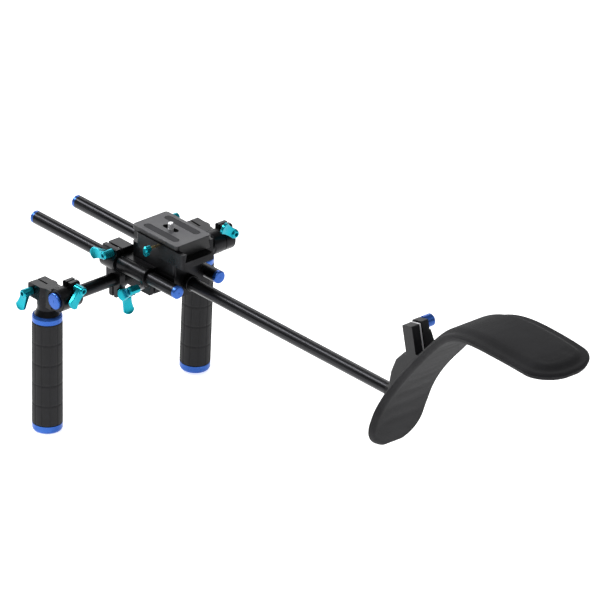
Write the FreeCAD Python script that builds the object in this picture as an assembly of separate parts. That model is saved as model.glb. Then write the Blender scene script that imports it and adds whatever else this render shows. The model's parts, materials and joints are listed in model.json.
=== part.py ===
import FreeCAD, Part
import math
import os

# Shoulder rig for a small cinema camera: two 15 mm front rods through a rod block with a
# quick-release plate, a cross rod with two hand grips, and a rear rod with a shoulder pad.
# Frame: origin at the foot of the camera screw on the plate's top face, +Y forward (lens
# side), +X to the operator's right, +Z up. Millimetres.

os.makedirs("parts", exist_ok=True)

V = FreeCAD.Vector
X_AXIS = V(1, 0, 0)
Y_AXIS = V(0, 1, 0)
Z_AXIS = V(0, 0, 1)

# Driving dimensions
ROD_R = 7.5                # 15 mm rods
ROD_WALL = 1.5
ROD_PITCH = 60.0           # standard spacing of two front rods
RUN = 0.05                 # radial play of a rod or screw in its bore
GAP = 0.3                  # gap between pieces that move past each other
ROD_Z = -52.0
FRONT_ROD_Y = (-45.0, 195.0)
CAP_T = 5.0
CROSS_Y = 62.0
CROSS_Z = -77.0
CROSS_X = (-115.3, 135.9)
FLANGE_R = 9.6             # end caps of the cross rod are flanged, so the grips stay on
SHOULDER_Z = -54.5
SHOULDER_Y = (-388.5, 11.5)

STUD_R = 3.0
HUB_R = 4.8
HUB_L = 14.0
LEVER_REACH = 23.0

BLOCK_Y = (0.0, 48.0)      # rod bosses of the rod block
BLOCK_R = 9.4
BLOCK_RING_R = 11.0        # raised ring at the rear end of each boss
BODY_X = 21.0
BODY_Y = (-31.0, 48.0)
BODY_Z = (-70.0, -42.0)
REAR_COLLAR_R = 9.2        # collar round the shoulder rod behind the body
RISER_X = 21.0
RISER_Y = (-31.0, 42.0)
RISER_TOP = -24.0
SET_SCREW_Y = -20.0        # screw that holds the shoulder rod
TRIPOD_R = 3.175           # 1/4 inch thread
LOCK_Y = 13.0              # clamp screws of the rod block
LOCK_Z = -68.0

RECEIVER_X = 27.0
RECEIVER_Y = (-53.0, 27.0)
RECEIVER_TOP = -6.0
PLATE_X = 25.0
PLATE_Y = (-41.0, 37.0)
PLATE_T = 5.5
TAIL_TOP = 20.7            # dovetail under the plate, half widths
TAIL_FOOT = 23.0
TAIL_DEPTH = 9.6
CAMERA_SCREW_H = 7.0
SCREW_SLOT = (3.7, 8.2)    # half width and half length between the slot's end centres
STRIP_X = 15.0             # rubber strips let into the plate's top
STRIP_W = 4.0
RECEIVER_SCREW_Y = (-20.0, 6.0)
LOCK_AT = (-34.5, -5.0, -12.0)

CLAMP_Y = (50.0, 74.0)     # right-angle clamps
CLAMP_R = 12.0
JAW_TOP = -35.0

HANDLE_X = (-108.0, 113.0)
HANDLE_Y = 85.0
RIGHT_LEAN = 3.0           # degrees; the right grip is set a little forward at its foot
HEAD_Z = (-90.5, -67.0)
HUB_POST_R = 12.0
DRUM_R = 13.5
HEAD_END = -7.1            # outer face of the head's boss from the grip's axis
DRUM_STUD_X = 15.5         # stud of the drum from the grip's axis
DRUM_STUD_Z = -64.6
DRUM_END = 22.5
DRUM_SWEEP_R = 20.4        # clears the drum's ears as the head swings
POST_STUD = (12.2, -75.8)  # stud of the post clamp: ahead of the grip's axis, and its level
RING_Z = -103.0
RING_R = 17.3
RING_H = 8.0
GRIP_R = 17.35
GRIP_L = 125.8
CORE_R = 9.0
END_CAP_H = 9.3

# Shoulder pad: centre line from the rear end to the lower front end, as (Y, Z)
PAD_LINE = [(-693, 87), (-645, 90.8), (-602, 91.8), (-563, 90), (-528, 80.5), (-466, 28.5),
            (-414, -34), (-392, -75), (-377.5, -118)]
REAR_WIDTHS = [(-745, 41), (-690, 43), (-640, 44.5), (-560, 43.5), (-522, 40), (-485, 35.5),
               (-425, 37), (-340, 37)]     # half widths seen from above, as (Y, half width)
FRONT_WIDTHS = [(200, 50), (60, 46), (20, 35), (-20, 34), (-60, 37.5), (-150, 38)]
PAD_REAR = -693.0
PAD_FOOT = -119.0
REAR_CORNER = 42.0
FOOT_CORNER = 34.0
PAD_T = 15.0
BOARD_T = 4.0
PAD_X = 53.0               # half width of the band before it is trimmed
FAR = 1000.0               # past the end of everything
BRACKET_X = 12.0
COLLAR_R = 10.0            # round collar of the bracket on the shoulder rod
COLLAR_Y = (-396.0, -379.0)
PAD_BLOCK = (-432.5, 13.0)  # foot of the hinge block on the pad, as (Y, Z)
PAD_BLOCK_TILT = 12.0
PAD_BLOCK_H = 34.5
HINGE = (4.0, 30.0)        # tilt axis in the hinge block's frame, as (Y, Z)
TONGUE_X = (-2.1, -0.5)
HINGE_PLATE_X = (-4.0, -2.4)   # bright friction plate beside the tongue


def box(x, y, z):
    """Box from (low, high) pairs."""
    return Part.makeBox(x[1] - x[0], y[1] - y[0], z[1] - z[0], V(x[0], y[0], z[0]))


def bar(radius, start, end):
    """Round bar between two points."""
    return Part.makeCylinder(radius, (end - start).Length, start, end - start)


def bar_x(radius, x, y, z):
    return bar(radius, V(x[0], y, z), V(x[1], y, z))


def bar_y(radius, x, y, z):
    return bar(radius, V(x, y[0], z), V(x, y[1], z))


def bar_z(radius, x, y, z):
    return bar(radius, V(x, y, z[0]), V(x, y, z[1]))


def place(axis, a, b, along=0.0):
    """Point from two coordinates across an axis, in X, Y, Z order, and one along it."""
    if axis == X_AXIS:
        return V(along, a, b)
    if axis == Y_AXIS:
        return V(a, along, b)
    return V(a, b, along)


def prism(axis, outline, low, high):
    """Solid made by pushing a closed outline along an axis."""
    points = [place(axis, a, b, low) for a, b in outline]
    face = Part.Face(Part.makePolygon(points + points[:1]))
    return face.extrude(axis * (high - low))


def turned(profile, base, axis):
    """Solid of revolution: (radius, height) points about an axis through base."""
    points = [V(r, 0, h) for r, h in profile]
    solid = Part.Face(Part.makePolygon(points + points[:1])).revolve(V(), Z_AXIS, 360)
    solid.Placement = FreeCAD.Placement(base, FreeCAD.Rotation(Z_AXIS, axis))
    return solid


def edges_along(shape, axis):
    """Straight edges parallel to an axis."""
    found = []
    for edge in shape.Edges:
        if isinstance(edge.Curve, Part.Line) and abs(edge.Curve.Direction.dot(axis)) > 0.999:
            found.append(edge)
    return found


def rounded(shape, axis, radius):
    """Fillet of every straight edge parallel to an axis."""
    return shape.makeFillet(radius, edges_along(shape, axis))


def rim(shape, axis, level, size):
    """Chamfer of the edges of the flat end at one level along an axis."""
    edges = [e for e in shape.Edges
             if all(abs(p.Point.dot(axis) - level) < 1e-6 for p in e.Vertexes)
             and abs(e.CenterOfMass.dot(axis) - level) < 1e-6]
    return shape.makeChamfer(size, edges)


def fuse(first, *others):
    return first.multiFuse(list(others)).removeSplitter()


def save(name, *solids):
    """Write one node, checked closed and valid."""
    shape = Part.makeCompound(list(solids)) if len(solids) > 1 else solids[0]
    found = shape.Solids
    if not shape.isValid() or not found or min(s.Volume for s in found) <= 0:
        raise ValueError("bad solid in " + name)
    if len(found) != len(solids):
        raise ValueError(f"{name} has {len(found)} solids, {len(solids)} wanted")
    shape.exportStep("parts/" + name + ".step")


def mirrored(shape):
    """The same piece on the other side of the rig."""
    return shape.mirror(V(), X_AXIS)


def half_turned(shape):
    """The same piece turned half round over the cross rod."""
    copy = shape.copy()
    copy.rotate(V(0, CROSS_Y, 0), Z_AXIS, 180)
    return copy


def cross_swung(shape, degrees):
    """The same piece swung about the cross rod."""
    copy = shape.copy()
    copy.rotate(V(0, CROSS_Y, CROSS_Z), X_AXIS, degrees)
    return copy


# Clamp levers

# Direction of each right-angle clamp's paddles, on the left piece
POINT_ROD = {"left": V(0, 1, -0.22), "right": V(0, -1, -1)}
POINT_CROSS = {"left": V(0.1, 0, -1), "right": V(-1, 0, -0.2)}


def lever_shape():
    """Clamp lever in its own frame: stud axis +Z from the hub's inner end, paddle along +X."""
    tip = LEVER_REACH
    under = Part.Arc(V(0, 0, 6.4), V(tip / 2, 0, 6.9), V(tip, 0, 10.0)).toShape()
    end = Part.LineSegment(V(tip, 0, 10.0), V(tip, 0, 14.2)).toShape()
    over = Part.Arc(V(tip, 0, 14.2), V(tip / 2, 0, 11.6), V(0, 0, 12.6)).toShape()
    root = Part.LineSegment(V(0, 0, 12.6), V(0, 0, 6.4)).toShape()
    side = Part.Face(Part.Wire([under, end, over, root]))
    side.translate(V(0, -10, 0))
    side = side.extrude(V(0, 20, 0))
    root_w = 5.6
    waist_w = 5.3
    tip_w = 6.9
    corner = 3.6
    right = Part.Arc(V(0, -root_w, 0), V(9, -waist_w, 0), V(tip - corner, -tip_w, 0)).toShape()
    nose = Part.Arc(V(tip - corner, -tip_w, 0), V(tip, 0, 0), V(tip - corner, tip_w, 0)).toShape()
    left = Part.Arc(V(tip - corner, tip_w, 0), V(9, waist_w, 0), V(0, root_w, 0)).toShape()
    back = Part.LineSegment(V(0, root_w, 0), V(0, -root_w, 0)).toShape()
    plan = Part.Face(Part.Wire([right, nose, left, back])).extrude(V(0, 0, 20))
    paddle = side.common(plan)
    paddle = paddle.makeFillet(0.9, [e for e in paddle.Edges if e.CenterOfMass.x > 2])
    hub = turned([(0, 0), (HUB_R - 0.8, 0), (HUB_R, 0.8), (HUB_R, HUB_L - 1.2),
                  (HUB_R - 1.2, HUB_L), (0, HUB_L)], V(), Z_AXIS)
    lever = fuse(hub, paddle)
    lever = lever.cut(bar_z(STUD_R + RUN, 0, 0, (-1, 9)))
    return lever.cut(bar_z(2.4, 0, 0, (11.5, HUB_L + 1)))


def lever(base, out, point):
    """Clamp lever with its hub's inner end at base, facing out, with its paddle along point."""
    solid = LEVER.copy()
    turn = FreeCAD.Rotation(point, out.cross(point), out, "ZXY")
    solid.Placement = FreeCAD.Placement(base, turn)
    return solid


def stud(base, out, inside):
    """Threaded stud of a lever, running from its hub into the clamp."""
    return bar(STUD_R, base - out * inside, base + out * 8.9)


def save_lever(name, base, out, point, inside, change=lambda shape: shape):
    save(name + "_lever", change(lever(base, out, point.normalize())))
    save(name + "_stud", change(stud(base, out, inside)))


LEVER = lever_shape()


# Rods

def tube(start, end):
    return bar(ROD_R, start, end).cut(bar(ROD_R - ROD_WALL, start, end))


def rod_cap(base, out, flange_r, thickness):
    """Screw-in end cap with a shallow dome."""
    bore = ROD_R - ROD_WALL - RUN
    return turned([(0, -8), (bore - 0.6, -8), (bore, -7.4), (bore, 0), (flange_r - 0.3, 0),
                   (flange_r, 0.3), (flange_r, thickness - 1.3), (flange_r - 0.5, thickness - 0.6),
                   (flange_r - 1.7, thickness - 0.2), (0, thickness)], base, out)


def rods():
    half = ROD_PITCH / 2
    for name, x in (("left", -half), ("right", half)):
        rear = V(x, FRONT_ROD_Y[0], ROD_Z)
        front = V(x, FRONT_ROD_Y[1], ROD_Z)
        save("front_rod_" + name, tube(rear, front))
        save("front_rod_caps_" + name, rod_cap(rear, -Y_AXIS, ROD_R, CAP_T),
             rod_cap(front, Y_AXIS, ROD_R, CAP_T))
    left = V(CROSS_X[0], CROSS_Y, CROSS_Z)
    right = V(CROSS_X[1], CROSS_Y, CROSS_Z)
    save("cross_rod", tube(left, right))
    save("cross_rod_caps", rod_cap(left, -X_AXIS, FLANGE_R, 3.4),
         rod_cap(right, X_AXIS, FLANGE_R, 3.4))
    rear = V(0, SHOULDER_Y[0], SHOULDER_Z)
    front = V(0, SHOULDER_Y[1], SHOULDER_Z)
    save("shoulder_rod", tube(rear, front))
    save("shoulder_rod_cap", rod_cap(front, Y_AXIS, ROD_R, CAP_T))


# Rod block and quick release

def rod_side():
    """Boss, ring and split ear round the left rod."""
    x = -ROD_PITCH / 2
    boss = bar_y(BLOCK_R, x, BLOCK_Y, ROD_Z)
    ring = bar_y(BLOCK_RING_R, x, (BLOCK_Y[0], BLOCK_Y[0] + 4), ROD_Z)
    ring = rim(ring, Y_AXIS, BLOCK_Y[0], 0.8)
    ear = rounded(box((x + 0.5, -8), (0, 44), (-75, -60)), X_AXIS, 2.0)
    return fuse(boss, ring, ear)


def rod_block():
    body = rounded(box((-BODY_X, BODY_X), BODY_Y, BODY_Z), Y_AXIS, 4.0)
    web = box((-ROD_PITCH / 2, ROD_PITCH / 2), BLOCK_Y, (-60, -42))
    riser = rounded(box((-RISER_X, RISER_X), RISER_Y, (BODY_Z[1] - 2, RISER_TOP)), Z_AXIS, 3.0)
    left = rod_side()
    collar = bar_y(REAR_COLLAR_R, 0, (BODY_Y[0] - 7, BODY_Y[0] + 1), SHOULDER_Z)
    collar = rim(collar, Y_AXIS, BODY_Y[0] - 7, 0.8)
    block = fuse(body, web, riser, collar, left, mirrored(left))
    for x in (-ROD_PITCH / 2, ROD_PITCH / 2):
        block = block.cut(bar_y(ROD_R + RUN, x, (-60, 60), ROD_Z))
    block = block.cut(bar_y(ROD_R + RUN, 0, (-80, 60), SHOULDER_Z))
    slit = box((-25.0, -22.8), (-1, 50), (-76, -56))
    stud_hole = bar_x(STUD_R + RUN, (-40, -12), LOCK_Y, LOCK_Z)
    for cut in (slit, stud_hole):
        block = block.cut(cut).cut(mirrored(cut))
    block = block.cut(bar_z(TRIPOD_R, 0, 22, (BODY_Z[0] - 1, BODY_Z[0] + 7)))
    block = block.cut(bar_z(STUD_R + RUN, 0, SET_SCREW_Y, (BODY_Z[0] - 1, SHOULDER_Z)))
    for y in RECEIVER_SCREW_Y:
        block = block.cut(bar_z(2.5 + RUN, 0, y, (-38, -20)))
    return block


def tail(top, foot, depth, y, grow=0.0):
    """Dovetail bar along Y, hanging from the receiver's rail level."""
    head = RECEIVER_TOP + 2.0
    outline = [(-foot - grow, RECEIVER_TOP - depth), (foot + grow, RECEIVER_TOP - depth),
               (top + grow, RECEIVER_TOP), (top + grow, head), (-top - grow, head),
               (-top - grow, RECEIVER_TOP)]
    return prism(Y_AXIS, outline, y[0], y[1])


def qr_receiver():
    body = box((-RECEIVER_X, RECEIVER_X), RECEIVER_Y, (RISER_TOP, RECEIVER_TOP))
    body = rounded(body, Z_AXIS, 2.5)
    lug = rounded(box((17, RECEIVER_X + 1), (15, 42), (RISER_TOP + 4, RECEIVER_TOP)), Z_AXIS, 2.0)
    body = fuse(body, lug)
    body = body.cut(box((18, 40), (RECEIVER_Y[0] - 1, PLATE_Y[0]), (RISER_TOP - 1, 0)))
    groove = (RECEIVER_Y[0] - 1, 50)
    body = body.cut(tail(TAIL_TOP, TAIL_FOOT, TAIL_DEPTH + GAP, groove, GAP))
    body = body.cut(bar_x(1.6 + RUN, (-40, -20), -5, -12))
    body = body.cut(bar_x(2.0 + RUN, (20, 40), 35, -11))
    for y in RECEIVER_SCREW_Y:
        body = body.cut(bar_z(2.5 + RUN, 0, y, (RISER_TOP - 1, 0)))
        body = body.cut(bar_z(4.4, 0, y, (-20.4, 0)))
    return body


def receiver_screw(y):
    head = bar_z(4.25, 0, y, (-20.3, -16.4)).cut(hex_hole(0, y, -16.4, 2.0))
    return head.fuse(bar_z(2.5, 0, y, (-36, -20.3))).removeSplitter()


def hex_hole(x, y, top, radius):
    """Hexagonal socket cut down from a level."""
    corners = [(x + radius * math.cos(math.radians(60 * k)),
                y + radius * math.sin(math.radians(60 * k))) for k in range(6)]
    return prism(Z_AXIS, corners, top - 2.2, top + 0.1)


def slot(half_width, half_length, z):
    """Round-ended slot along Y."""
    middle = box((-half_width, half_width), (-half_length, half_length), z)
    ends = [bar_z(half_width, 0, y, z) for y in (-half_length, half_length)]
    return fuse(middle, *ends)


def camera_plate():
    slab = box((-PLATE_X, PLATE_X), PLATE_Y, (-PLATE_T, 0))
    slab = rounded(slab, Z_AXIS, 4.0)
    slab = rim(slab, Z_AXIS, 0, 0.6)
    foot = tail(TAIL_TOP, TAIL_FOOT, TAIL_DEPTH, PLATE_Y)
    plate = fuse(slab, foot.cut(box((-60, 60), (-99, 99), (-PLATE_T + 1, 9))))
    plate = plate.cut(slot(SCREW_SLOT[0], SCREW_SLOT[1], (-20, 1)))
    plate = plate.cut(slot(8.0, 12, (-20, -3.5)))
    for x in (-STRIP_X, STRIP_X):
        plate = plate.cut(strip(x, STRIP_W + 0.5, (-1.5, 1)))
    return plate


def strip(x, half_width, z):
    """Rubber strip let into the plate, or its pocket."""
    solid = slot(half_width, 24, z)
    solid.translate(V(x, -2, 0))
    return solid


def camera_screw():
    """Quarter-inch screw with a shoulder in the slot and a folding ring's head below."""
    screw = turned([(0, -8.2), (6.6, -8.2), (6.8, -8.0), (6.8, -4.6), (3.4, -4.6), (3.4, 0),
                    (TRIPOD_R, 0), (TRIPOD_R, CAMERA_SCREW_H - 0.6),
                    (TRIPOD_R - 0.6, CAMERA_SCREW_H), (0, CAMERA_SCREW_H)], V(), Z_AXIS)
    return screw.cut(box((-8, 8), (-0.8, 0.8), (-9, -7)))


def lock_wing():
    """Small hub and wing of the quick release's clamp screw."""
    hub = turned([(0, 0), (3.4, 0), (3.8, 0.5), (3.8, 6.5), (2.6, 8), (0, 8)],
                 V(*LOCK_AT), -X_AXIS)
    wing = rounded(box((-41.5, -37.5), (-8.6, -1.4), (-20.0, -11)), X_AXIS, 3.0)
    wing = fuse(hub, wing)
    return wing.cut(bar_x(1.6 + RUN, (-40, -30), -5, -12))


def quick_release():
    save("rod_block", rod_block())
    save("qr_receiver", qr_receiver())
    save("receiver_screws", *[receiver_screw(y) for y in RECEIVER_SCREW_Y])
    save("camera_plate", camera_plate())
    strips = [strip(x, STRIP_W, (-1.5, 0.0)) for x in (-STRIP_X, STRIP_X)]
    save("plate_strips", *strips)
    save("camera_screw", camera_screw())
    washer = bar_z(7.2, 0, 0, (-4.4, -3.6)).cut(bar_z(3.5, 0, 0, (-9, 0)))
    save("screw_washer", washer)
    save("lock_stud", bar_x(1.6, (-39.9, -23.4), -5, -12))
    save("lock_wing", lock_wing())
    save("safety_knob", safety_knob())
    set_screw = bar_z(STUD_R, 0, SET_SCREW_Y, (BODY_Z[0] + 0.8, SHOULDER_Z - ROD_R - 0.1))
    set_screw = set_screw.cut(hex_hole(0, SET_SCREW_Y, BODY_Z[0] + 2.9, 1.7))
    save("shoulder_set_screw", set_screw)
    base = V(-36.3, LOCK_Y, LOCK_Z)
    save_lever("block_left", base, -X_AXIS, V(0, 0.82, -0.57), 22)
    save_lever("block_right", base, -X_AXIS, V(0, 0.82, -0.57), 22, mirrored)


def safety_knob():
    """Sprung knob whose pin keeps the plate from sliding off."""
    return turned([(0, -7), (2.0, -7), (2.0, 0), (4.2, 0), (4.6, 0.4), (4.6, 7.0), (3.6, 8.0),
                   (0, 8.0)], V(RECEIVER_X + 1 + 3.6, 35, -11), X_AXIS)


# Right-angle clamps between the front rods and the cross rod

def clamp():
    """Clamp on the left front rod; the right one is the same piece turned half round."""
    x = -ROD_PITCH / 2
    upper = bar_y(CLAMP_R, x, CLAMP_Y, ROD_Z)
    jaws = rounded(box((x - 7, x + 18), CLAMP_Y, (ROD_Z, JAW_TOP)), Y_AXIS, 1.5)
    lower = box((x - 2, x + 10), CLAMP_Y, (CROSS_Z, ROD_Z))
    round_end = bar_x(CLAMP_R, (x - 2, x + 10), CROSS_Y, CROSS_Z)
    ears = rounded(box((x - 2, x + 10), (55, 69), (-98, CROSS_Z)), X_AXIS, 2.0)
    body = fuse(upper, jaws, lower, round_end, ears)
    body = body.cut(bar_y(ROD_R + RUN, x, (40, 90), ROD_Z))
    body = body.cut(bar_x(ROD_R + RUN, (x - 20, x + 20), CROSS_Y, CROSS_Z))
    body = body.cut(box((x - 1.2, x + 1.8), (40, 90), (ROD_Z + 6, 0)))
    body = body.cut(box((x - 20, x + 20), (CROSS_Y - 1.2, CROSS_Y + 1.2), (-99, CROSS_Z)))
    body = body.cut(bar_x(STUD_R + RUN, (x - 20, x + 14), 57, -39.8))
    body = body.cut(bar_x(HUB_R + 0.5, (x - 20, x - 7), 57, -39.8))
    return body.cut(bar_y(STUD_R + RUN, x + 4, (40, 90), -92))


def clamps():
    x = -ROD_PITCH / 2
    body = clamp()
    for side, turn in (("left", lambda shape: shape), ("right", half_turned)):
        save("clamp_" + side, turn(body))
        save_lever("clamp_" + side + "_rod", V(x - 7.3, 57, -39.8), -X_AXIS,
                   POINT_ROD[side], 20, turn)
        save_lever("clamp_" + side + "_cross", V(x + 4, 54.7, -92), -Y_AXIS,
                   POINT_CROSS[side], 14, turn)


# Hand grips

def head(x):
    """Joint piece between the cross rod and the grip's post."""
    post = bar_z(HUB_POST_R, x, HANDLE_Y, HEAD_Z)
    boss = bar_x(DRUM_R + 0.3, (x + HEAD_END, x + 5.5), CROSS_Y, CROSS_Z)
    boss = rim(boss, X_AXIS, x + HEAD_END, 1.2)
    bridge = box((x - 9, x + 9), (CROSS_Y + 6, HANDLE_Y), HEAD_Z)
    neck = box((x - 4.5, x + 5.5), (CROSS_Y, HANDLE_Y), HEAD_Z)
    ears = box((x - 12, x + 11), (HANDLE_Y, HANDLE_Y + 19), (-84.5, HEAD_Z[1]))
    ears = rounded(ears, X_AXIS, 3.0)
    body = fuse(post, bridge, boss, neck, ears)
    body = body.cut(bar_x(DRUM_R + 0.7, (x + 5.5, x + 40), CROSS_Y, CROSS_Z))
    body = body.cut(bar_x(DRUM_SWEEP_R, (x + 9.4, x + 40), CROSS_Y, CROSS_Z))
    body = body.cut(bar_x(FLANGE_R + 1.4, (x - 40, x + HEAD_END), CROSS_Y, CROSS_Z))
    body = body.cut(bar_x(ROD_R + RUN, (x - 40, x + 40), CROSS_Y, CROSS_Z))
    body = body.cut(bar_z(ROD_R + RUN, x, HANDLE_Y, (-120, -71)))
    body = body.cut(box((x - 1.2, x + 1.2), (HANDLE_Y, HANDLE_Y + 30), (-120, -60)))
    return body.cut(bar_x(STUD_R + RUN, (x - 20, x + 20), HANDLE_Y + POST_STUD[0], POST_STUD[1]))


def drum(x):
    """Split clamp on the cross rod with the toothed disc that holds the head's angle."""
    disc = bar_x(DRUM_R, (x + 5.8, x + 8.6), CROSS_Y, CROSS_Z)
    waist = bar_x(DRUM_R - 2.0, (x + 8.4, x + 9.6), CROSS_Y, CROSS_Z)
    barrel = bar_x(DRUM_R, (x + 9.4, x + DRUM_END), CROSS_Y, CROSS_Z)
    barrel = rim(barrel, X_AXIS, x + DRUM_END, 0.8)
    ears = box((x + 9.8, x + DRUM_END - 0.6), (CROSS_Y - 8, CROSS_Y + 8), (CROSS_Z, -58.8))
    ears = rounded(ears, X_AXIS, 3.0)
    body = fuse(disc, waist, barrel, ears)
    body = body.cut(bar_x(ROD_R + RUN, (x, x + 40), CROSS_Y, CROSS_Z))
    body = body.cut(box((x + 9, x + 40), (CROSS_Y - 1.2, CROSS_Y + 1.2), (CROSS_Z, -50)))
    stud_x = x + DRUM_STUD_X
    body = body.cut(bar_y(HUB_R + 0.5, stud_x, (CROSS_Y - 20, CROSS_Y - 8), DRUM_STUD_Z))
    return body.cut(bar_y(STUD_R + RUN, stud_x, (CROSS_Y - 20, CROSS_Y + 20), DRUM_STUD_Z))


def grip_core(x):
    """Post, flared neck and the tube inside the rubber."""
    foot = RING_Z - RING_H - GRIP_L - 0.4
    core = turned([(0, 0), (ROD_R, 0), (ROD_R, -18.8), (11.2, -18.8), (11.6, -24), (14.6, -30.8),
                   (CORE_R, -30.8), (CORE_R, foot + 72), (CORE_R - 2, foot + 72),
                   (CORE_R - 2, -36), (0, -36)], V(x, HANDLE_Y, -72), Z_AXIS)
    return core


def ring(x):
    """Blue ring at the top of a grip."""
    inner = CORE_R + RUN
    return turned([(inner, 0), (RING_R - 2.6, 0), (RING_R - 0.8, -0.8), (RING_R, -2.6),
                   (RING_R, -RING_H), (inner, -RING_H)], V(x, HANDLE_Y, RING_Z), Z_AXIS)


def sleeve(x):
    """Rubber grip."""
    top = RING_Z - RING_H - 0.2
    outer = bar_z(GRIP_R, x, HANDLE_Y, (top - GRIP_L, top))
    return outer.cut(bar_z(CORE_R + RUN, x, HANDLE_Y, (top - GRIP_L, top)))


def end_cap(x):
    """Blue cap screwed into the foot of a grip."""
    top = RING_Z - RING_H - GRIP_L - 0.4
    bore = CORE_R - 2 - RUN
    return turned([(0, 8), (bore, 8), (bore, 0), (RING_R, 0), (RING_R, -END_CAP_H + 3.2),
                   (RING_R - 0.9, -END_CAP_H + 1.2), (RING_R - 3.0, -END_CAP_H),
                   (0, -END_CAP_H)], V(x, HANDLE_Y, top), Z_AXIS)


def handle(side, x, lean, drum_point):
    def swing(shape):
        return cross_swung(shape, lean)

    save("drum_" + side, drum(x))
    drum_base = V(x + DRUM_STUD_X, CROSS_Y - 8.3, DRUM_STUD_Z)
    save_lever("drum_" + side, drum_base, -Y_AXIS, drum_point, 16)
    save("head_" + side, swing(head(x)))
    post_base = V(x - 12.3, HANDLE_Y + POST_STUD[0], POST_STUD[1])
    save_lever("post_" + side, post_base, -X_AXIS, V(0, 0.34, -1), 22, swing)
    save("grip_core_" + side, swing(grip_core(x)))
    save("grip_ring_" + side, swing(ring(x)))
    save("grip_" + side, swing(sleeve(x)))
    save("grip_cap_" + side, swing(end_cap(x)))


# Shoulder pad and its bracket

def pad_curve(offset):
    """The pad's centre line moved sideways, positive towards its outer face."""
    line = Part.BSplineCurve()
    line.interpolate([V(0, y, z) for y, z in PAD_LINE])
    count = 24
    first, last = line.FirstParameter, line.LastParameter
    points = []
    for k in range(count + 1):
        at = first + (last - first) * k / count
        tangent = line.tangent(at)[0]
        points.append(line.value(at) + X_AXIS.cross(tangent) * offset)
    moved = Part.BSplineCurve()
    moved.interpolate(points)
    return moved


def pad_band(low, high, half_width):
    """The pad's S-shaped band between two offsets from its centre line."""
    under = pad_curve(low).toShape()
    over = pad_curve(high).toShape()
    ends = [Part.LineSegment(under.valueAt(p), over.valueAt(q)).toShape()
            for p, q in ((under.FirstParameter, over.FirstParameter),
                         (under.LastParameter, over.LastParameter))]
    face = Part.Face(Part.Wire([under, ends[1], over, ends[0]]))
    face.translate(V(-half_width, 0, 0))
    return face.extrude(V(2 * half_width, 0, 0))


def width_prism(widths, seen):
    """Long prism whose half width follows (place, half width) points, seen along an axis."""
    sides = []
    for sign in (1, -1):
        side = Part.BSplineCurve()
        side.interpolate([place(seen, sign * w, p) for p, w in widths])
        sides.append(side.toShape())
    ends = [Part.LineSegment(place(seen, w, p), place(seen, -w, p)).toShape()
            for p, w in (widths[0], widths[-1])]
    face = Part.Face(Part.Wire([sides[0], ends[1], sides[1], ends[0]]))
    face.translate(seen * -FAR)
    return face.extrude(seen * 2 * FAR)


def rounded_end(half_width, end, seen, corner):
    """Prism that starts at a flat end with two rounded corners, and is open further on."""
    def prism_from(half, start):
        if seen == Z_AXIS:
            return box((-half, half), (start, FAR), (-FAR, FAR))
        return box((-half, half), (-FAR, FAR), (start, FAR))

    tip = prism_from(half_width, end)
    corners = [e for e in edges_along(tip, seen) if abs(place_of(e, seen) - end) < 1]
    return fuse(tip.makeFillet(corner, corners), prism_from(half_width + 20, end + 60))


def place_of(edge, seen):
    """Where an edge lies along the pad: Y seen from above, Z seen from the front."""
    middle = edge.CenterOfMass
    return middle.y if seen == Z_AXIS else middle.z


def pad_outline():
    """Solid that trims the band: seen from above for the rear lobe, from the front below."""
    rear = width_prism(REAR_WIDTHS, Z_AXIS).common(rounded_end(46.0, PAD_REAR, Z_AXIS, REAR_CORNER))
    front = width_prism(FRONT_WIDTHS, Y_AXIS).common(rounded_end(38.0, PAD_FOOT, Y_AXIS, FOOT_CORNER))
    return rear.common(front)


def block_frame(shape):
    """Moves a piece from the hinge block's own frame (rear = -Y, up = Z) to its place."""
    copy = shape.copy()
    copy.rotate(V(), X_AXIS, -PAD_BLOCK_TILT)
    copy.translate(V(0, PAD_BLOCK[0], PAD_BLOCK[1]))
    return copy


def pad_mount(outer):
    """Two ears on a foot that is screwed to the pad's board."""
    left = box((-15, HINGE_PLATE_X[0] - RUN), (-8.5, 8.5), (-14, PAD_BLOCK_H))
    right = box((TONGUE_X[1] + GAP, 9.3), (-8.5, 8.5), (-14, PAD_BLOCK_H + 2))
    left, right = [rounded(ear, X_AXIS, 1.5) for ear in (left, right)]
    gusset = prism(Y_AXIS, [(8, -14), (17, -14), (14, 8), (11, 24), (8, 24)], -8.5, -4.2)
    foot = box((-15, 17), (-12, 8.5), (-34, 2))
    foot = foot.cut(box((TONGUE_X[0] - 0.4, TONGUE_X[1] + 0.4), (-13, 12), (-3, 9)))
    foot = foot.cut(box((TONGUE_X[0] - 0.4, TONGUE_X[1] + 0.4), (5, 12), (-31, 9)))
    body = fuse(left, right, gusset, foot)
    body = body.cut(bar_x(STUD_R + RUN, (-14, 40), HINGE[0], HINGE[1]))
    return block_frame(body).cut(outer)


def hinge_plate(outer):
    """Friction plate standing on the foot, between the left ear and the tongue."""
    plate = box(HINGE_PLATE_X, (-8.9, 8.5), (2 + RUN, PAD_BLOCK_H + 0.5))
    plate = plate.cut(bar_x(STUD_R + RUN, (-14, 14), HINGE[0], HINGE[1]))
    return block_frame(plate).cut(outer)


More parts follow.
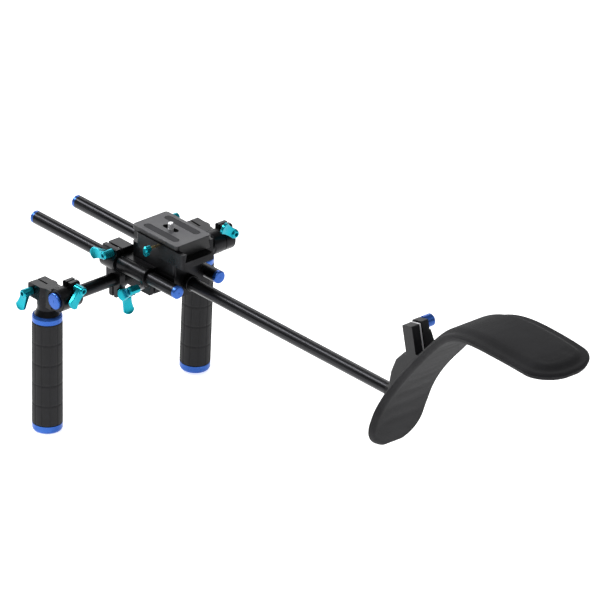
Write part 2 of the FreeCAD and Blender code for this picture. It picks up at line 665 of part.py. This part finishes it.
def pad_bracket(outer):
    """Housing on the rear end of the shoulder rod, with the tongue of the tilt hinge."""
    side = [(-388, -66), (-388, -44), (-393, -22), (-401, -5), (-414, 8), (-426, 8),
            (-450, -20), (-400, -66)]
    housing = prism(X_AXIS, side, -BRACKET_X, BRACKET_X)
    housing = housing.makeFillet(3.0, [e for e in housing.Edges if e.CenterOfMass.y > -415
                                       and abs(abs(e.CenterOfMass.x) - BRACKET_X) < 1e-3
                                       and e.CenterOfMass.z > -60])
    collar = bar_y(COLLAR_R, 0, COLLAR_Y, SHOULDER_Z)
    collar = rim(collar, Y_AXIS, COLLAR_Y[1], 1.0)
    housing = fuse(housing, collar).cut(outer)
    room = block_frame(box((-22, 22), (-30, 9.2), (-40, 40)))
    housing = housing.cut(room)
    tongue = box(TONGUE_X, (-5, 10), (2.2, HINGE[1]))
    knuckle = bar_x(5.6, TONGUE_X, HINGE[0], HINGE[1])
    tongue = block_frame(fuse(tongue, knuckle, box(TONGUE_X, (7, 16), (-10, 14))))
    body = fuse(housing, tongue)
    body = body.cut(block_frame(bar_x(STUD_R + RUN, (-14, 14), HINGE[0], HINGE[1])))
    return body.cut(bar_y(ROD_R + RUN, 0, (SHOULDER_Y[0] - 0.4, -370), SHOULDER_Z))


def pad_knob():
    """Thumb screw that clamps the tilt hinge."""
    knob = turned([(0, -23), (STUD_R, -23), (STUD_R, 0), (4.8, 0), (4.8, 1), (7.4, 2),
                   (7.4, 12.6), (6.2, 14), (0, 14)], V(9.7, HINGE[0], HINGE[1]), X_AXIS)
    return block_frame(knob)


def shoulder_pad():
    outline = pad_outline()
    half = PAD_T / 2
    seam = half - BOARD_T
    cushion = pad_band(-half, seam, PAD_X).common(outline)
    board = pad_band(seam, half, PAD_X).common(outline)
    mount = pad_mount(pad_band(-40, half, PAD_X))
    bracket = pad_bracket(pad_band(-40, half + 0.5, PAD_X))
    save("pad_cushion", cushion)
    save("pad_board", board)
    save("pad_mount", mount)
    save("pad_hinge_plate", hinge_plate(pad_band(-40, half, PAD_X)))
    save("pad_bracket", bracket)
    save("pad_knob", pad_knob())


rods()
quick_release()
clamps()
handle("left", HANDLE_X[0], 0.0, V(-0.7, 0, -0.72))
handle("right", HANDLE_X[1], RIGHT_LEAN, V(-0.79, 0, 0.61))
shoulder_pad()
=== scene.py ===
import json
import math

import bmesh
import bpy
import numpy as np
from mathutils import Matrix, Vector
from mathutils.bvhtree import BVHTree


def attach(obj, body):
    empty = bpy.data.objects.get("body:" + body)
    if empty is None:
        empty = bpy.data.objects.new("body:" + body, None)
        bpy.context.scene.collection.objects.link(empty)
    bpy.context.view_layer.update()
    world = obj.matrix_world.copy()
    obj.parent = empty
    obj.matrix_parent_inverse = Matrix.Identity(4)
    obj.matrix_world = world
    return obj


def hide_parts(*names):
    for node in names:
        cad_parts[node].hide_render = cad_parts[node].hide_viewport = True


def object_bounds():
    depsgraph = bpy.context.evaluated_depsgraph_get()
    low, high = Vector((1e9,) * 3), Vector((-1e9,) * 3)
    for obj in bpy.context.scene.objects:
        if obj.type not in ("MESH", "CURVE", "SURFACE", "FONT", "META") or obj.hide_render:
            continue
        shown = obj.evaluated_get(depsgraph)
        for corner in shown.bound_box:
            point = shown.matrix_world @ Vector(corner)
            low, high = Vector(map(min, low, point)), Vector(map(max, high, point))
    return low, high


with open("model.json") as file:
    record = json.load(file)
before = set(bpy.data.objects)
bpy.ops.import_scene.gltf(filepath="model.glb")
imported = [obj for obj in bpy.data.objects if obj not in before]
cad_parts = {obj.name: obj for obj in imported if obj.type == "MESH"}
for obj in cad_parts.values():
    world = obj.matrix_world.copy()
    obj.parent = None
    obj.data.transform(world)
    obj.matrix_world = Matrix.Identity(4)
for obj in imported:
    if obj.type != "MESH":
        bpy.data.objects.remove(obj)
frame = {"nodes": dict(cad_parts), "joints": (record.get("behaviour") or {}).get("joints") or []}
CAD_BOX = [list(corner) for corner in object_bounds()]
SIDES = ("left", "right")

# Camera and light

AZIMUTH = math.radians(-40.0)
ELEVATION = math.radians(26.6)
AIM = Vector((0.0870, -0.1197, -0.0713))
DISTANCE = 90.0             # far away, so that the view has almost no perspective
VIEW_WIDTH = 0.6667         # width of the picture at the object
SENSOR_WIDTH = 36.0
WHITE = (1.0, 1.0, 1.0)
SKY = 0.24
FLOOR_GLOW = 0.75
FLOOR_HALF = 30.0
FLOOR_DROP = 0.0005         # floor's level below the lowest point of the grips
UP = Vector((0, 0, 1))
ALONG_RODS = Vector((0, 1, 0))
# Name, azimuth and elevation in degrees, distance, (width, length), power, length's direction
LIGHTS = [("key", -75.0, 62.0, 2.2, (0.9, 0.9), 22.0, UP),
          ("fill", 20.0, 45.0, 2.6, (1.4, 1.4), 7.0, UP),
          ("rods", -153.0, 39.6, 2.5, (0.30, 1.5), 34.0, ALONG_RODS),
          ("tops", 140.0, 28.0, 2.6, (1.6, 1.0), 12.0, UP)]


def look_from(azimuth, elevation):
    """Unit vector from the object towards a viewer."""
    flat = math.cos(elevation)
    return Vector((math.sin(azimuth) * flat, -math.cos(azimuth) * flat, math.sin(elevation)))


def make_camera():
    data = bpy.data.cameras.new("camera")
    data.sensor_width = SENSOR_WIDTH
    data.lens = data.sensor_width * DISTANCE / VIEW_WIDTH
    data.clip_start, data.clip_end = 1.0, 2.0 * DISTANCE
    camera = bpy.data.objects.new("camera", data)
    bpy.context.collection.objects.link(camera)
    back = look_from(AZIMUTH, ELEVATION)
    camera.location = AIM + back * DISTANCE
    camera.rotation_mode = "QUATERNION"
    camera.rotation_quaternion = (-back).to_track_quat("-Z", "Y")
    bpy.context.scene.camera = camera


def area_light(name, azimuth, elevation, distance, size, power, along):
    """Light that points at the object; size is (width, length), its length follows along."""
    data = bpy.data.lights.new(name, "AREA")
    data.shape = "RECTANGLE"
    data.size, data.size_y = size
    data.energy = power
    light = bpy.data.objects.new(name, data)
    bpy.context.collection.objects.link(light)
    back = look_from(math.radians(azimuth), math.radians(elevation))
    upward = (along - back * along.dot(back)).normalized()
    turn = Matrix((upward.cross(back), upward, back)).transposed()
    light.location = AIM + back * distance
    light.rotation_mode = "QUATERNION"
    light.rotation_quaternion = turn.to_quaternion()


def make_stage():
    """Pale floor that the grips stand on, white surroundings and soft lights."""
    world = bpy.data.worlds.new("studio")
    world.use_nodes = True
    background = world.node_tree.nodes["Background"]
    background.inputs["Color"].default_value = (*WHITE, 1.0)
    background.inputs["Strength"].default_value = SKY
    bpy.context.scene.world = world
    bpy.context.scene.view_settings.view_transform = "Standard"
    for light in LIGHTS:
        area_light(*light)
    mesh = bpy.data.meshes.new("floor")
    level = CAD_BOX[0][2] - FLOOR_DROP
    signs = [(-1, -1), (1, -1), (1, 1), (-1, 1)]
    corners = [(FLOOR_HALF * x, FLOOR_HALF * y, level) for x, y in signs]
    mesh.from_pydata(corners, [], [(0, 1, 2, 3)])
    floor = bpy.data.objects.new("floor", mesh)
    bpy.context.collection.objects.link(floor)
    paint, nodes, _ = new_material("floor_paint", (0.93, 0.93, 0.93), roughness=0.9)
    nodes["Principled BSDF"].inputs["Emission Color"].default_value = (*WHITE, 1.0)
    nodes["Principled BSDF"].inputs["Emission Strength"].default_value = FLOOR_GLOW
    mesh.materials.append(paint)


# Materials

def new_material(name, color, roughness, metallic=0.0):
    material = bpy.data.materials.new(name)
    material.use_nodes = True
    nodes = material.node_tree.nodes
    shader = nodes["Principled BSDF"]
    shader.inputs["Base Color"].default_value = (*color, 1.0)
    shader.inputs["Roughness"].default_value = roughness
    shader.inputs["Metallic"].default_value = metallic
    return material, nodes, material.node_tree.links


def texture_space(nodes, links, scale=(1.0, 1.0, 1.0)):
    """Object coordinates in metres, stretched by a scale."""
    place = nodes.new("ShaderNodeTexCoord")
    stretch = nodes.new("ShaderNodeMapping")
    stretch.inputs["Scale"].default_value = scale
    links.new(place.outputs["Object"], stretch.inputs["Vector"])
    return stretch.outputs["Vector"]


def noise(nodes, links, space, scale, detail=3.0, rough=0.5):
    node = nodes.new("ShaderNodeTexNoise")
    node.inputs["Scale"].default_value = scale
    node.inputs["Detail"].default_value = detail
    node.inputs["Roughness"].default_value = rough
    links.new(space, node.inputs["Vector"])
    return node.outputs["Fac"]


def spread(nodes, links, value, low, high, start=0.35, end=0.65):
    """Maps a texture value onto a range."""
    node = nodes.new("ShaderNodeMapRange")
    node.inputs["From Min"].default_value = start
    node.inputs["From Max"].default_value = end
    node.inputs["To Min"].default_value = low
    node.inputs["To Max"].default_value = high
    links.new(value, node.inputs["Value"])
    return node.outputs["Result"]


def tint(nodes, links, value, dark, light):
    """Colour that runs from dark to light with a texture value."""
    node = nodes.new("ShaderNodeMix")
    node.data_type = "RGBA"
    node.inputs["A"].default_value = (*dark, 1.0)
    node.inputs["B"].default_value = (*light, 1.0)
    links.new(value, node.inputs["Factor"])
    return node.outputs["Result"]


def bump(nodes, links, height, distance, strength=1.0):
    node = nodes.new("ShaderNodeBump")
    node.inputs["Distance"].default_value = distance
    node.inputs["Strength"].default_value = strength
    links.new(height, node.inputs["Height"])
    links.new(node.outputs["Normal"], nodes["Principled BSDF"].inputs["Normal"])


def metal(name, dark, light, roughness, grain=1400.0, blast=0.00002, metallic=0.85, rub=None,
          top=1.0):
    """Metal with an uneven tone and a fine bead-blast grain.

    rub is the colour of small rubbed specks, and top brightens the faces that look up: a painted
    highlight that stands in for the light falling on those faces.
    """
    material, nodes, links = new_material(name, dark, roughness, metallic)
    shader = nodes["Principled BSDF"]
    space = texture_space(nodes, links)
    cloud = noise(nodes, links, space, scale=38.0, detail=4.0)
    color = tint(nodes, links, spread(nodes, links, cloud, 0.0, 1.0), dark, light)
    if rub is not None:
        wear = nodes.new("ShaderNodeMix")
        wear.data_type = "RGBA"
        wear.inputs["B"].default_value = (*rub, 1.0)
        links.new(color, wear.inputs["A"])
        specks = noise(nodes, links, space, scale=420.0, detail=6.0, rough=0.7)
        links.new(spread(nodes, links, specks, 0.0, 0.5, start=0.62, end=0.74),
                  wear.inputs["Factor"])
        color = wear.outputs["Result"]
    # Painted highlight: the faces that look up get a lighter colour, standing in for the light
    # on them.
    if top != 1.0:
        color = painted_top_highlight(nodes, links, color, top)
    links.new(color, shader.inputs["Base Color"])
    speck = noise(nodes, links, space, grain, detail=2.0)
    rough = spread(nodes, links, cloud, roughness - 0.05, roughness + 0.06)
    links.new(rough, shader.inputs["Roughness"])
    bump(nodes, links, speck, blast)
    return material


def painted_top_highlight(nodes, links, color, top):
    """Painted highlight: colour multiplied by top on the faces that look up in the object's own
    frame, in place of the light that falls on them.
    """
    place = nodes.new("ShaderNodeTexCoord")
    parts = nodes.new("ShaderNodeSeparateXYZ")
    links.new(place.outputs["Normal"], parts.inputs["Vector"])
    gain = spread(nodes, links, parts.outputs["Z"], 1.0, top, start=0.5, end=0.9)
    scale = nodes.new("ShaderNodeVectorMath")
    scale.operation = "SCALE"
    links.new(color, scale.inputs[0])
    links.new(gain, scale.inputs["Scale"])
    return scale.outputs["Vector"]


def drawn_metal(name, dark, light, roughness, axis):
    """Rod finish: fine draw lines along the rod's axis, 0 for X and 1 for Y."""
    stretch = [900.0, 900.0, 900.0]
    stretch[axis] = 9.0
    material, nodes, links = new_material(name, dark, roughness, metallic=0.95)
    shader = nodes["Principled BSDF"]
    space = texture_space(nodes, links, tuple(stretch))
    lines = noise(nodes, links, space, scale=1.0, detail=2.0)
    links.new(tint(nodes, links, spread(nodes, links, lines, 0.0, 1.0), dark, light),
              shader.inputs["Base Color"])
    links.new(spread(nodes, links, lines, roughness - 0.04, roughness + 0.05),
              shader.inputs["Roughness"])
    bump(nodes, links, lines, distance=0.00001)
    return material


def moulded(name, dark, light, roughness, grain, depth, specular):
    """Moulded rubber or plastic with a fine sparked texture."""
    material, nodes, links = new_material(name, dark, roughness)
    shader = nodes["Principled BSDF"]
    shader.inputs["Specular IOR Level"].default_value = specular
    space = texture_space(nodes, links)
    cloud = noise(nodes, links, space, scale=60.0, detail=5.0)
    links.new(tint(nodes, links, spread(nodes, links, cloud, 0.0, 1.0), dark, light),
              shader.inputs["Base Color"])
    links.new(spread(nodes, links, cloud, roughness - 0.05, roughness + 0.05),
              shader.inputs["Roughness"])
    bump(nodes, links, noise(nodes, links, space, grain), depth)
    return material


def fabric(name, dark, light, pitch=0.0011):
    """Knitted face of foam: small stitches, fuzz and soft sheen."""
    material, nodes, links = new_material(name, dark, roughness=0.85)
    shader = nodes["Principled BSDF"]
    shader.inputs["Sheen Weight"].default_value = 0.05
    shader.inputs["Sheen Roughness"].default_value = 0.5
    shader.inputs["Specular IOR Level"].default_value = 0.3
    space = texture_space(nodes, links)
    stitches = nodes.new("ShaderNodeTexVoronoi")
    stitches.inputs["Scale"].default_value = 1.0 / pitch
    stitches.inputs["Randomness"].default_value = 0.35
    links.new(space, stitches.inputs["Vector"])
    cloud = noise(nodes, links, space, scale=26.0, detail=5.0, rough=0.6)
    fuzz = noise(nodes, links, space, scale=1500.0, detail=2.0)
    blend = nodes.new("ShaderNodeMath")
    blend.operation = "MULTIPLY_ADD"
    links.new(fuzz, blend.inputs[0])
    blend.inputs[1].default_value = 0.45
    links.new(spread(nodes, links, cloud, 0.0, 0.6), blend.inputs[2])
    links.new(tint(nodes, links, blend.outputs[0], dark, light), shader.inputs["Base Color"])
    bump(nodes, links, stitches.outputs["Distance"], distance=0.00035, strength=0.8)
    return material


def make_materials():
    return {
        "black": metal("black_anodised", (0.010, 0.010, 0.011), (0.018, 0.018, 0.020), 0.30,
                       metallic=0.9, rub=(0.10, 0.10, 0.105)),
        "rod": {axis: drawn_metal("black_rod_" + "xy"[axis], (0.016, 0.016, 0.018),
                                  (0.030, 0.030, 0.033), 0.32, axis) for axis in (0, 1)},
        "cyan": metal("cyan_anodised", (0.0, 0.26, 0.33), (0.01, 0.36, 0.44), 0.20,
                      rub=(0.12, 0.66, 0.74)),
        "blue": metal("blue_anodised", (0.020, 0.085, 0.37), (0.036, 0.125, 0.46), 0.27,
                      metallic=0.7, rub=(0.13, 0.30, 0.70)),
        "steel": metal("steel", (0.66, 0.66, 0.68), (0.82, 0.82, 0.84), 0.34, metallic=0.6),
        "brass": metal("brass", (0.58, 0.46, 0.22), (0.70, 0.58, 0.32), 0.28, metallic=1.0),
        # The plate's colour is four times lighter on its upward faces: a painted highlight for
        # the light that falls on its top.
        "plate": metal("plate_top", (0.014, 0.014, 0.015), (0.020, 0.020, 0.022), 0.42,
                       grain=2200.0, metallic=0.5, rub=(0.06, 0.06, 0.065), top=4.0),
        "rubber": moulded("grip_rubber", (0.005, 0.005, 0.006), (0.011, 0.011, 0.013), 0.62,
                          1500.0, 0.00008, specular=0.28),
        "strip": moulded("plate_rubber", (0.026, 0.026, 0.029), (0.040, 0.040, 0.045), 0.70,
                         1800.0, 0.0001, specular=0.3),
        "plastic": moulded("black_plastic", (0.007, 0.007, 0.008), (0.013, 0.013, 0.015), 0.42,
                           900.0, 0.00006, specular=0.22),
        "fabric": fabric("pad_fabric", (0.004, 0.004, 0.005), (0.011, 0.011, 0.013)),
        "lining": fabric("pad_lining", (0.004, 0.004, 0.005), (0.013, 0.013, 0.015)),
        "binding": fabric("pad_binding", (0.003, 0.003, 0.004), (0.008, 0.008, 0.010), 0.0007),
    }


def dress(name, material):
    """Gives a CAD node its finish."""
    mesh = frame["nodes"][name].data
    mesh.materials.clear()
    mesh.materials.append(material)


# Finish of the nodes that dress_nodes doesn't know by their names' endings
OTHER_FINISH = {"lock_stud": "brass", "camera_screw": "steel", "receiver_screws": "steel",
                "shoulder_set_screw": "steel", "pad_hinge_plate": "steel",
                "camera_plate": "plate", "plate_strips": "strip", "screw_washer": "plastic",
                "pad_mount": "plastic", "pad_bracket": "plastic", "pad_cushion": "fabric",
                "pad_board": "fabric", "grip_left": "rubber", "grip_right": "rubber"}


def dress_nodes(paint):
    for node in frame["nodes"]:
        if node.endswith("_lever") or node in ("lock_wing", "safety_knob"):
            dress(node, paint["cyan"])
        elif node.endswith("_stud") and node != "lock_stud":
            dress(node, paint["steel"])
        elif "cap" in node or "ring" in node or node == "pad_knob":
            dress(node, paint["blue"])
        elif node == "cross_rod":
            dress(node, paint["rod"][0])
        elif node.endswith("rod") or node.startswith("front_rod"):
            dress(node, paint["rod"][1])
        else:
            dress(node, paint[OTHER_FINISH.get(node, "black")])


# Mesh helpers

def add_piece(name, verts, faces, material, body):
    """Smooth-shaded mesh that rides on a body and fills a material slot."""
    mesh = bpy.data.meshes.new(name)
    mesh.from_pydata([tuple(v) for v in verts], [], faces)
    shape = bmesh.new()
    shape.from_mesh(mesh)
    bmesh.ops.recalc_face_normals(shape, faces=shape.faces)
    shape.to_mesh(mesh)
    shape.free()
    mesh.materials.append(material)
    for polygon in mesh.polygons:
        polygon.use_smooth = True
    piece = bpy.data.objects.new(name, mesh)
    bpy.context.collection.objects.link(piece)
    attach(piece, body)
    return piece


def ring_faces(rows, count):
    """Quads over rows of points round an axis; the last row joins the first."""
    faces = []
    for i in range(rows):
        for j in range(count):
            a, b = i * count + j, i * count + (j + 1) % count
            c, d = ((i + 1) % rows) * count + (j + 1) % count, ((i + 1) % rows) * count + j
            faces.append((a, b, c, d))
    return faces


# Grips

GRIP_TILES = 12            # tiles round the sleeve
GRIP_TIERS = 5
TILE_DEPTH = 0.0008        # depth of the grooves between the tiles
TILE_STEPS = 12            # mesh steps across one tile
TIER_STEPS = 24            # mesh steps along one tier
TILE_GROOVE = 0.18         # groove's share of a tile's width
TIER_GROOVE = 0.09         # groove's share of a tier's height
GROOVE_POWER = 0.6         # below 1 rounds the tiles' edges outwards


def tile_edge(value, groove):
    """0 in the groove between two tiles and 1 on the tile, for value 0..1 across one tile."""
    edge = min(value, 1.0 - value) * 2.0
    return min(1.0, edge / groove) ** GROOVE_POWER


def make_grip(side, material):
    """Rubber sleeve moulded in tiers of upright tiles."""
    joint = next(j for j in frame["joints"] if j["name"] == f"grip_{side}_turn")
    axis = Vector(joint["axis"]).normalized()
    centre = Vector(joint["pos_m"])
    mesh = frame["nodes"][f"grip_{side}"].data
    points = np.array([v.co for v in mesh.vertices])
    along = (points - np.array(centre)) @ np.array(axis)
    low, high = along.min(), along.max()
    off = points - np.array(centre) - np.outer(along, np.array(axis))
    radii = np.linalg.norm(off, axis=1)
    outer, inner = radii.max(), radii.min()
    turn = UP.rotation_difference(axis).to_matrix()
    count = GRIP_TILES * TILE_STEPS
    rows = []
    total = GRIP_TIERS * TIER_STEPS
    for i in range(total + 1):
        height = low + (high - low) * i / total
        tier = (i % TIER_STEPS) / TIER_STEPS
        whole = tile_edge(tier, TIER_GROOVE)
        row = []
        for j in range(count):
            across = (j % TILE_STEPS) / TILE_STEPS
            raised = tile_edge(across, TILE_GROOVE) * whole
            radius = outer - TILE_DEPTH * (1.0 - raised)
            angle = 2.0 * math.pi * j / count
            row.append((radius * math.cos(angle), radius * math.sin(angle), height))
        rows.append(row)
    for height in (high, low):
        rows.append([(inner * math.cos(2 * math.pi * j / count),
                      inner * math.sin(2 * math.pi * j / count), height) for j in range(count)])
    verts = [centre + turn @ Vector(p) for row in rows for p in row]
    faces = ring_faces(len(rows), count)
    piece = add_piece(f"grip_tiles_{side}", verts, faces, material, f"grip_{side}")
    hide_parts(f"grip_{side}")


# Shoulder pad

PAD_LINE = [(-0.693, 0.087), (-0.645, 0.0908), (-0.602, 0.0918), (-0.563, 0.090),
            (-0.528, 0.0805), (-0.466, 0.0285), (-0.414, -0.034), (-0.392, -0.075),
            (-0.3775, -0.118)]
PAD_HALF = 0.0075          # half the pad's thickness
REAR_CORNER = 0.042        # radius of the pad's corners seen face on
FOOT_CORNER = 0.034
END_ROWS = 14              # mesh rows in each rounded end
ROW_PITCH = 0.0030
COLUMNS = 48
SEAM = -0.0006             # level of the edge seam, positive towards the outer face
INSET = 0.0006             # how far the two faces stay inside the CAD solid
FLANGE_RISE = 0.0030       # height of the flat flange over the seam
PANEL_START = 0.0085       # from the edge to the foot of the raised panel
PANEL_SLOPE = 0.0080
EDGE_ROUND = 0.0030        # rounding of the outer face's edge
INNER_ROUND = 0.0055       # rounding of the inner face's edge
INNER_POWER = 2.4          # 2 would make that rounding elliptical
CLOTH_FRAMES = 20
PRESSURE = 4.0
STRETCH_STIFFNESS = 25.0
BENDING_STIFFNESS = 4.0
SWELL_LIMIT = 0.0022       # farthest that the cloth may move a point
BINDING_R = 0.0011
BINDING_SIDES = 10
BINDING_SINK = 0.6         # from the edge in to the bead's centre, in bead radii


def natural_cubic(points):
    """Function of distance that runs through the given points smoothly, and its length."""
    given = np.array(points)
    marks = np.concatenate([[0.0], np.cumsum(np.linalg.norm(np.diff(given, axis=0), axis=1))])
    gaps = np.diff(marks)
    count = len(given)
    matrix = np.eye(count)
    right = np.zeros_like(given)
    for i in range(1, count - 1):
        matrix[i, i - 1:i + 2] = gaps[i - 1], 2 * (gaps[i - 1] + gaps[i]), gaps[i]
        right[i] = 6 * ((given[i + 1] - given[i]) / gaps[i]
                        - (given[i] - given[i - 1]) / gaps[i - 1])
    bend = np.linalg.solve(matrix, right)

    def at(mark):
        i = min(max(int(np.searchsorted(marks, mark, side="right")) - 1, 0), count - 2)
        gap, after, before = gaps[i], marks[i + 1] - mark, mark - marks[i]
        return ((bend[i] * after ** 3 + bend[i + 1] * before ** 3) / (6 * gap)
                + (given[i] / gap - bend[i] * gap / 6) * after
                + (given[i + 1] / gap - bend[i + 1] * gap / 6) * before)

    return at, marks[-1]


def pad_marks(length):
    """Distances of the mesh rows: closer together in the two rounded ends."""
    share = 1.0 - np.cos(np.linspace(0.0, math.pi / 2, END_ROWS))
    middle = int((length - REAR_CORNER - FOOT_CORNER) / ROW_PITCH)
    straight = np.linspace(REAR_CORNER, length - FOOT_CORNER, middle)[1:-1]
    return np.concatenate([REAR_CORNER * share, straight, (length - FOOT_CORNER * share)[::-1]])


def smooth_step(value):
    value = np.clip(value, 0.0, 1.0)
    return value * value * (3.0 - 2.0 * value)


def to_outline(s, x, outline):
    """Distance from a point on the pad's face to its outline, both flat."""
    start, run = outline[:-1], np.diff(outline, axis=0)
    off = np.array([s, x]) - start
    share = np.clip((off * run).sum(1) / np.maximum((run ** 2).sum(1), 1e-12), 0.0, 1.0)
    return np.linalg.norm(off - run * share[:, None], axis=1).min()


def outer_level(gap):
    """Height of the outer face over the centre line, at a distance from the edge."""
    near = min(gap / EDGE_ROUND, 1.0)
    flange = SEAM + FLANGE_RISE * math.sqrt(1.0 - (1.0 - near) ** 2)
    panel = smooth_step((gap - PANEL_START) / PANEL_SLOPE)
    return flange + (PAD_HALF - INSET - SEAM - FLANGE_RISE) * panel


def inner_level(gap):
    """Height of the inner face over the centre line, at a distance from the edge."""
    near = min(gap / INNER_ROUND, 1.0)
    return SEAM - (PAD_HALF + SEAM - INSET) * (1.0 - (1.0 - near) ** INNER_POWER) ** 0.5


class PadShape:
    """The pad's own coordinates: distance along it, across it, and above its centre line."""

    END_MARGIN = 0.0004    # the first and last half widths are measured this far in
    STEP = 0.0002          # for the line's direction

    def __init__(self):
        self.line, self.length = natural_cubic(PAD_LINE)
        self.marks = pad_marks(self.length)
        node = frame["nodes"]["pad_cushion"]
        solid = BVHTree.FromObject(node, bpy.context.evaluated_depsgraph_get())
        self.halves = []
        for mark in np.clip(self.marks, self.END_MARGIN, self.length - self.END_MARGIN):
            y, z = self.line(mark)
            hit = solid.ray_cast(Vector((0.0, y, z)), Vector((1.0, 0.0, 0.0)))[0]
            self.halves.append(hit.x)
        side = list(zip(self.marks, self.halves))
        other = [(s, -x) for s, x in reversed(side)]
        self.outline = np.array(side + other + side[:1])

    def frame_at(self, mark):
        """Point on the centre line and the direction of the outer face there."""
        y, z = self.line(mark)
        ahead = self.line(mark + self.STEP) - self.line(mark - self.STEP)
        ahead = ahead / np.linalg.norm(ahead)
        return Vector((0.0, y, z)), Vector((0.0, -ahead[1], ahead[0]))

    def place(self, mark, across, above):
        centre, outward = self.frame_at(mark)
        return centre + Vector((across, 0.0, 0.0)) + outward * above


def pad_body(shape, outer_fabric, inner_fabric):
    """Closed foam body: flange, raised outer panel and plain inner face."""
    shares = np.sin(np.linspace(-math.pi / 2, math.pi / 2, COLUMNS))
    verts, edge_gap = [], []
    layers = {}
    for layer, level in (("outer", outer_level), ("inner", inner_level)):
        for i, (mark, half) in enumerate(zip(shape.marks, shape.halves)):
            for j, share in enumerate(shares):
                border = i in (0, len(shape.marks) - 1) or j in (0, COLUMNS - 1)
                if layer == "inner" and border:
                    layers["inner", i, j] = layers["outer", i, j]
                    continue
                gap = 0.0 if border else to_outline(mark, share * half, shape.outline)
                layers[layer, i, j] = len(verts)
                edge_gap.append(gap)
                verts.append(shape.place(mark, share * half, level(gap)))
    faces = []
    for layer in ("outer", "inner"):
        for i in range(len(shape.marks) - 1):
            for j in range(COLUMNS - 1):
                faces.append([layers[layer, i, j], layers[layer, i, j + 1],
                              layers[layer, i + 1, j + 1], layers[layer, i + 1, j]])
    piece = add_piece("pad_body", verts, faces, outer_fabric, "pad")
    piece.data.materials.append(inner_fabric)
    per_layer = (len(shape.marks) - 1) * (COLUMNS - 1)
    for polygon in list(piece.data.polygons)[per_layer:]:
        polygon.material_index = 1
    return piece, edge_gap


def swell(piece, edge_gap):
    """Cloth simulation that fills the pad like foam; the edge stays where it is sewn."""
    group = piece.vertex_groups.new(name="sewn")
    for i, gap in enumerate(edge_gap):
        if gap < PANEL_START:
            group.add([i], 1.0, "REPLACE")
    cloth = piece.modifiers.new("fill", "CLOTH")
    settings = cloth.settings
    settings.vertex_group_mass = "sewn"
    settings.use_pressure = True
    settings.uniform_pressure_force = PRESSURE
    settings.effector_weights.gravity = 0.0
    settings.tension_stiffness = settings.compression_stiffness = STRETCH_STIFFNESS
    settings.bending_stiffness = BENDING_STIFFNESS
    cloth.point_cache.frame_end = CLOTH_FRAMES
    for step in range(1, CLOTH_FRAMES + 1):
        bpy.context.scene.frame_set(step)
    swollen = piece.evaluated_get(bpy.context.evaluated_depsgraph_get()).data
    moved = [v.co.copy() for v in swollen.vertices]
    piece.modifiers.remove(cloth)
    bpy.context.scene.frame_set(1)
    for vertex, there in zip(piece.data.vertices, moved):
        step = there - vertex.co
        if step.length > SWELL_LIMIT:
            step.length = SWELL_LIMIT
        vertex.co += step


def finer(piece):
    """One level of subdivision, applied."""
    piece.modifiers.new("finer", "SUBSURF").levels = 1
    mesh = bpy.data.meshes.new_from_object(
        piece.evaluated_get(bpy.context.evaluated_depsgraph_get()))
    piece.modifiers.clear()
    piece.data = mesh


def edge_binding(shape, material):
    """Sewn bead that follows the pad's edge seam."""
    loop = shape.outline[:-1]
    count = len(loop)
    verts = []
    for i, (mark, across) in enumerate(loop):
        before, after = loop[i - 1], loop[(i + 1) % count]
        along = after - before
        out = np.array([-along[1], along[0]]) / max(np.linalg.norm(along), 1e-9)
        if out @ (np.array([mark, across]) - loop.mean(axis=0)) < 0.0:
            out = -out
        for k in range(BINDING_SIDES):
            turn = 2.0 * math.pi * k / BINDING_SIDES
            flat = BINDING_R * (math.cos(turn) - BINDING_SINK)
            verts.append(shape.place(mark + out[0] * flat, across + out[1] * flat,
                                     SEAM + BINDING_R * math.sin(turn)))
    return add_piece("pad_binding", verts, ring_faces(count, BINDING_SIDES), material, "pad")


def make_pad(paint):
    shape = PadShape()
    piece, edge_gap = pad_body(shape, paint["fabric"], paint["lining"])
    swell(piece, edge_gap)
    finer(piece)
    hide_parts("pad_cushion", "pad_board")
    edge_binding(shape, paint["binding"])


def main():
    make_camera()
    make_stage()
    paint = make_materials()
    dress_nodes(paint)
    for side in SIDES:
        make_grip(side, paint["rubber"])
    make_pad(paint)


main()
